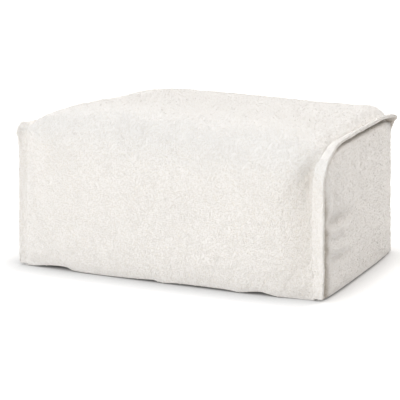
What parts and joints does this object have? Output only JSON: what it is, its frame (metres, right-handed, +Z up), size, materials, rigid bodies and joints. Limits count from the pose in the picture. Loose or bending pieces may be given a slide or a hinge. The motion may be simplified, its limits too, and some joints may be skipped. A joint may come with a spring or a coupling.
{
  "type": "square pouf",
  "caption": "Soft filled floor pouf with a crowned top, a rolled front edge, a panel at each end and a flanged seam standing out round each end panel",
  "frame": {"origin": "On the floor under the middle of the pouf", "axes": "+X along the long front towards the right end panel, the front faces -Y, +Z up"},
  "size_m": [0.9038, 0.6373, 0.4465],
  "materials": {
    "looped_cloth": "matt off-white looped pile",
    "base_cloth": "matt plain weave"
  },
  "bodies": {
    "root": {"filled_block": "looped_cloth", "end_panel_left": "looped_cloth", "end_panel_right": "looped_cloth", "flange_left": "looped_cloth", "flange_right": "looped_cloth", "base_panel": "base_cloth"}
  },
  "joints": []
}
